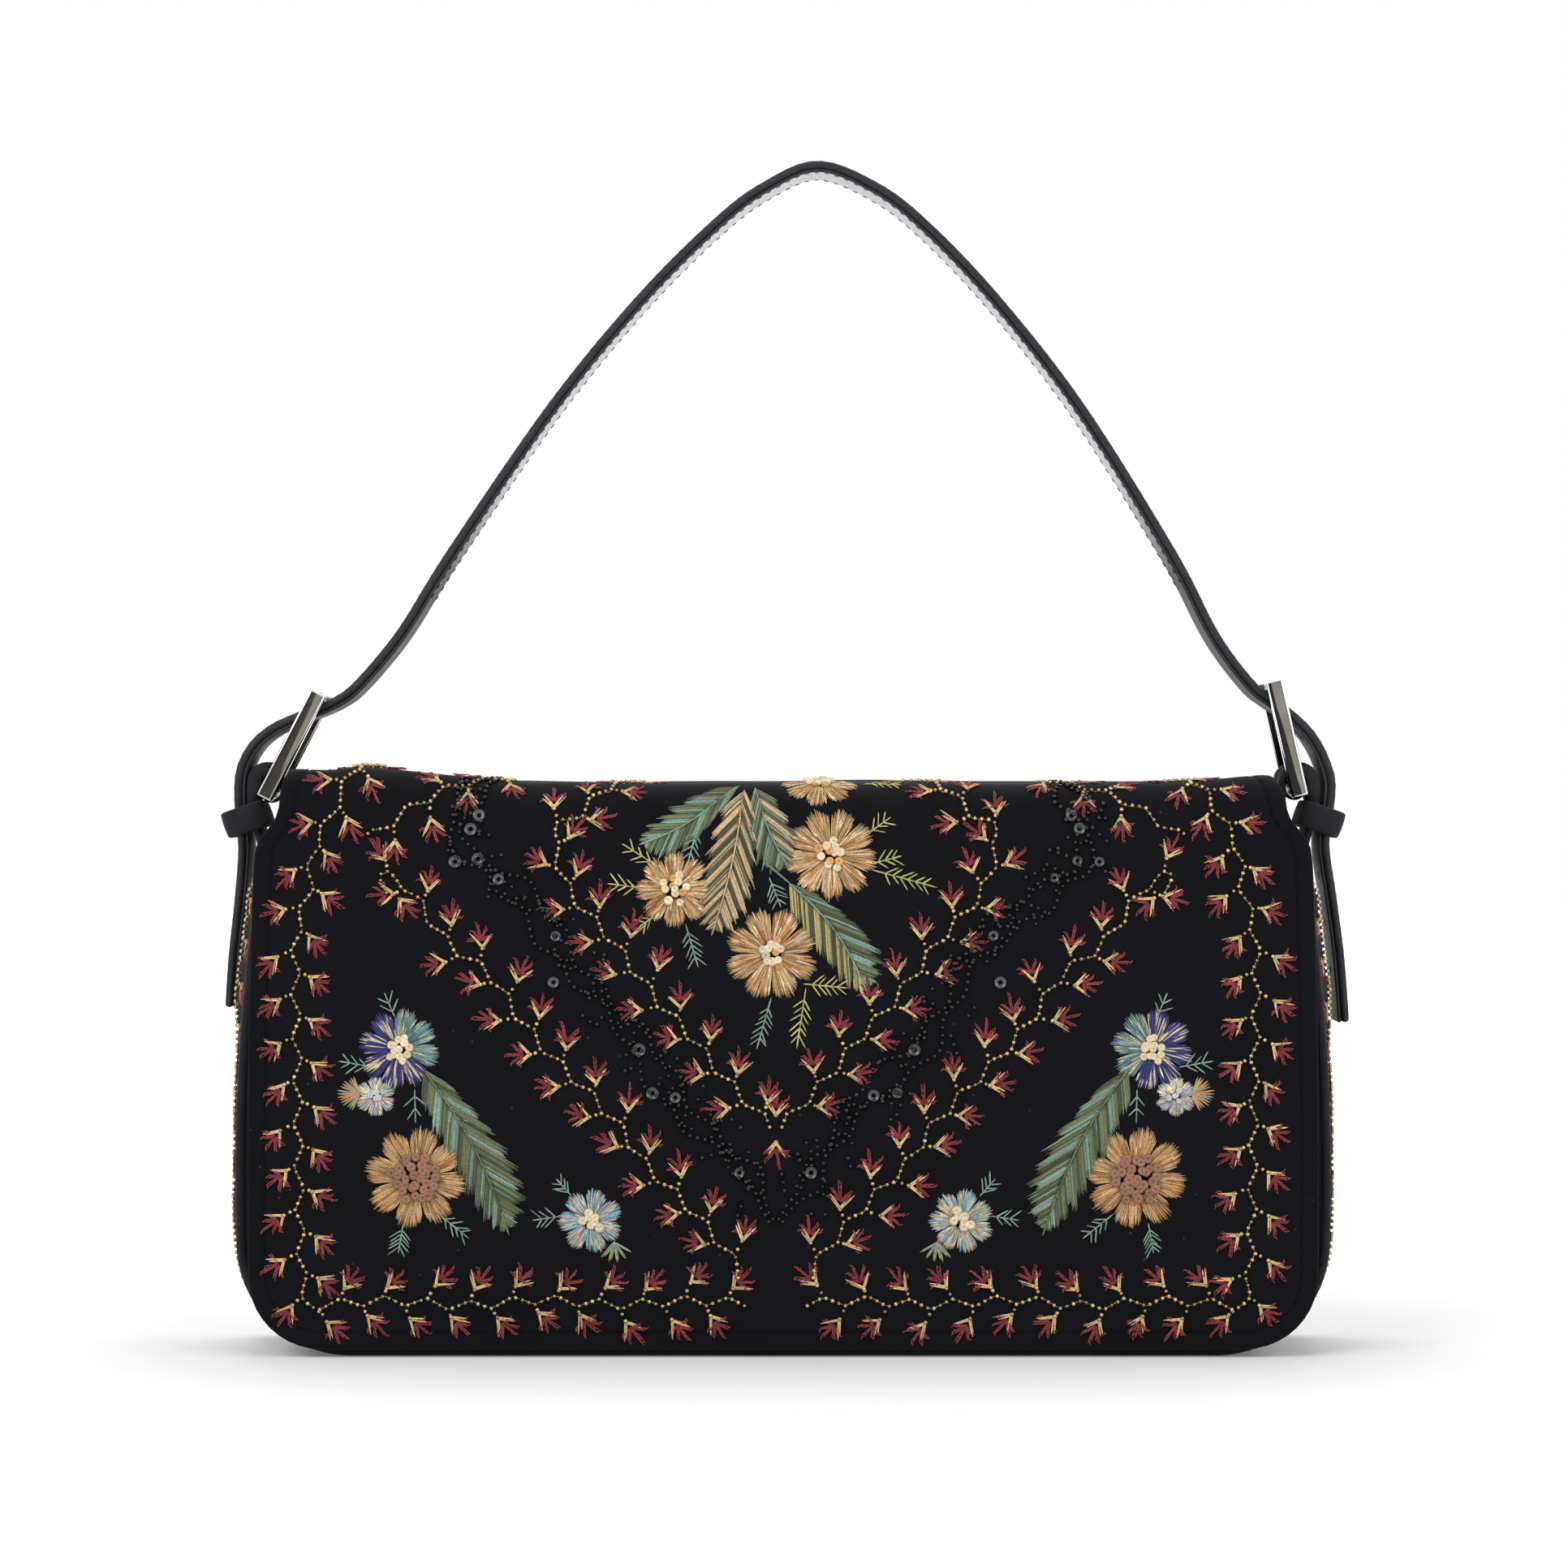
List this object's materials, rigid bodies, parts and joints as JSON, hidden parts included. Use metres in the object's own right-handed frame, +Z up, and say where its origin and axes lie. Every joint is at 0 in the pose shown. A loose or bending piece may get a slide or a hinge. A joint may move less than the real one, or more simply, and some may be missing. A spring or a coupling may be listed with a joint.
{
  "type": "baguette bag",
  "caption": "Small long shoulder bag with a full front flap, bead vine embroidery and a short strap held by two belt buckles.",
  "frame": {"origin": "centre of the flat base, on the surface that the bag stands on", "axes": "+X to the viewer's right when the flap is seen from the front, +Y towards the back panel, +Z up"},
  "size_m": [0.2853, 0.0626, 0.2988],
  "materials": {
    "velvet": "black velvety suede cloth, bead and thread embroidery",
    "suede": "matt black suede",
    "satin_lining": "dark satin",
    "board": "cloth covered board",
    "zip_tape": "woven tape",
    "gunmetal": "polished gunmetal plate",
    "strap_leather": "smooth dark charcoal, painted edges",
    "strap_lining": "pale grey, stitched along both edges"
  },
  "bodies": {
    "bag": {"front_panel": "velvet", "back_panel": "velvet", "gusset": "velvet", "base_board": "board", "front_piping": "suede", "back_piping": "suede", "front_lining": "satin_lining", "back_lining": "satin_lining", "gusset_lining": "satin_lining", "front_facing": "suede", "back_facing": "suede", "pocket_pouch": "satin_lining", "zip_tapes": "zip_tape", "zip_teeth": "gunmetal", "zip_stops": "gunmetal", "snap_socket": "gunmetal", "socket_plate": "gunmetal", "flap_rear": "velvet", "flap_rear_lining": "satin_lining"},
    "flap_roll": {"flap_top": "velvet", "flap_top_lining": "satin_lining"},
    "flap_panel": {"flap_front": "velvet", "flap_front_lining": "satin_lining", "snap_stud": "gunmetal", "stud_plate": "gunmetal"},
    "strap": {"left_tab": "suede", "right_tab": "suede", "left_keeper": "suede", "right_keeper": "suede", "shoulder_strap": "strap_leather", "strap_lining": "strap_lining"},
    "left_buckle": {"left_buckle": "gunmetal"},
    "right_buckle": {"right_buckle": "gunmetal"},
    "left_prong": {"left_prong": "gunmetal"},
    "right_prong": {"right_prong": "gunmetal"},
    "zip_slider": {"zip_slider": "gunmetal"},
    "zip_pull": {"zip_pull": "gunmetal"}
  },
  "joints": [
    {"name": "flap_fold", "type": "hinge", "parent": "bag", "child": "flap_roll", "pos_m": [0, -0.001, 0.142], "axis": [-1, 0, 0], "range_deg": [0, 85]},
    {"name": "flap_front_fold", "type": "hinge", "parent": "flap_roll", "child": "flap_panel", "pos_m": [0, -0.02987, 0.13], "axis": [-1, 0, 0], "range_deg": [0, 85]},
    {"name": "strap_swing", "type": "hinge", "parent": "bag", "child": "strap", "pos_m": [0, 0.0145, 0.124], "axis": [-1, 0, 0], "range_deg": [0, 75]},
    {"name": "left_buckle_tilt", "type": "hinge", "parent": "strap", "child": "left_buckle", "pos_m": [-0.1299, 0.0145, 0.1395], "axis": [0, -1, 0], "range_deg": [0, 5]},
    {"name": "right_buckle_tilt", "type": "hinge", "parent": "strap", "child": "right_buckle", "pos_m": [0.1299, 0.0145, 0.1402], "axis": [0, 1, 0], "range_deg": [0, 5]},
    {"name": "left_prong_lift", "type": "hinge", "parent": "left_buckle", "child": "left_prong", "pos_m": [-0.1299, 0.0145, 0.1395], "axis": [0, -1, 0], "range_deg": [0, 6]},
    {"name": "right_prong_lift", "type": "hinge", "parent": "right_buckle", "child": "right_prong", "pos_m": [0.1299, 0.0145, 0.1402], "axis": [0, 1, 0], "range_deg": [0, 6]},
    {"name": "zip_slide", "type": "slide", "parent": "bag", "child": "zip_slider", "axis": [-1, 0, 0], "range_m": [0, 0.138]},
    {"name": "zip_pull_turn", "type": "hinge", "parent": "zip_slider", "child": "zip_pull", "pos_m": [0.0695, 0.02079, 0.1], "axis": [0, 0, 1], "range_deg": [0, 150]}
  ]
}
